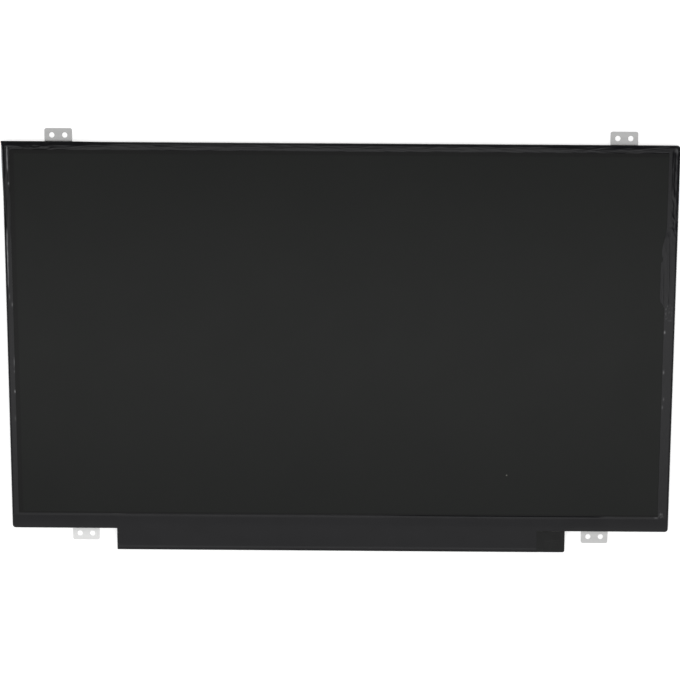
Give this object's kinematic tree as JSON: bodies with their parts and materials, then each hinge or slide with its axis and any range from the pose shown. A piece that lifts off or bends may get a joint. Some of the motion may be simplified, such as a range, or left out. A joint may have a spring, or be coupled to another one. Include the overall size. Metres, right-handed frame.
{
  "type": "laptop screen panel",
  "caption": "Slim flat laptop screen panel: matt black display in a taped frame, with steel screw ears and a narrow control board with a signal socket along its bottom edge.",
  "frame": {"origin": "on the back plate's rear face, in the middle of the framed body", "axes": "+X to the viewer's right, +Y to the top of the picture, +Z out of the screen"},
  "size_m": [0.3204, 0.205, 0.003],
  "materials": {
    "screen_film": "matt anti-glare film, near black",
    "display_glass": "thin clear glass over a black matrix",
    "backlight_film": "white and milky polyester film",
    "clear_acrylic": "clear polished acrylic",
    "frame_plastic": "fine matt black moulding",
    "plate_aluminium": "rolled sheet, satin",
    "ear_steel": "stamped stainless steel, satin",
    "black_tape": "black polyester tape, slightly wrinkled",
    "rim_adhesive": "black double-sided tape",
    "flex_circuit": "white coverlay",
    "led_package": "white package, yellow window",
    "driver_film": "amber polyimide film",
    "board_laminate": "black solder mask on glass-fibre laminate",
    "chip_resin": "moulded black epoxy",
    "ferrite": "dark grey ferrite",
    "chip_ceramic": "fired ceramic with tinned ends",
    "socket_resin": "moulded black resin",
    "socket_metal": "tinned copper alloy",
    "contact_gold": "gold-plated"
  },
  "bodies": {
    "root": {"front_polariser": "screen_film", "rear_polariser": "screen_film", "array_glass": "display_glass", "colour_filter_glass": "display_glass", "diffuser_sheet": "backlight_film", "lower_prism_sheet": "backlight_film", "upper_prism_sheet": "backlight_film", "reflector_sheet": "backlight_film", "light_guide": "clear_acrylic", "moulded_frame": "frame_plastic", "back_plate": "plate_aluminium", "top_left_ear": "ear_steel", "top_right_ear": "ear_steel", "bottom_left_ear": "ear_steel", "bottom_right_ear": "ear_steel", "top_edge_tape": "black_tape", "left_edge_tape": "black_tape", "right_edge_tape": "black_tape", "bottom_cover_tape": "black_tape", "rim_tape": "rim_adhesive", "light_bar_flex": "flex_circuit", "light_bar_leds": "led_package", "source_film_1": "driver_film", "source_film_2": "driver_film", "source_film_3": "driver_film", "source_film_4": "driver_film", "control_board": "board_laminate", "driver_chip_1": "chip_resin", "driver_chip_2": "chip_resin", "driver_chip_3": "chip_resin", "driver_chip_4": "chip_resin", "timing_controller": "chip_resin", "memory_chip": "chip_resin", "power_chip": "chip_resin", "level_shifter": "chip_resin", "gamma_buffer": "chip_resin", "backlight_driver": "chip_resin", "rectifier_diodes": "chip_resin", "logic_inductor": "ferrite", "bias_inductor": "ferrite", "backlight_inductor": "ferrite", "board_capacitors": "chip_ceramic", "board_resistors": "chip_ceramic", "input_fuse": "chip_ceramic", "socket_housing": "socket_resin", "socket_shell": "socket_metal", "socket_contacts": "contact_gold"}
  },
  "joints": []
}
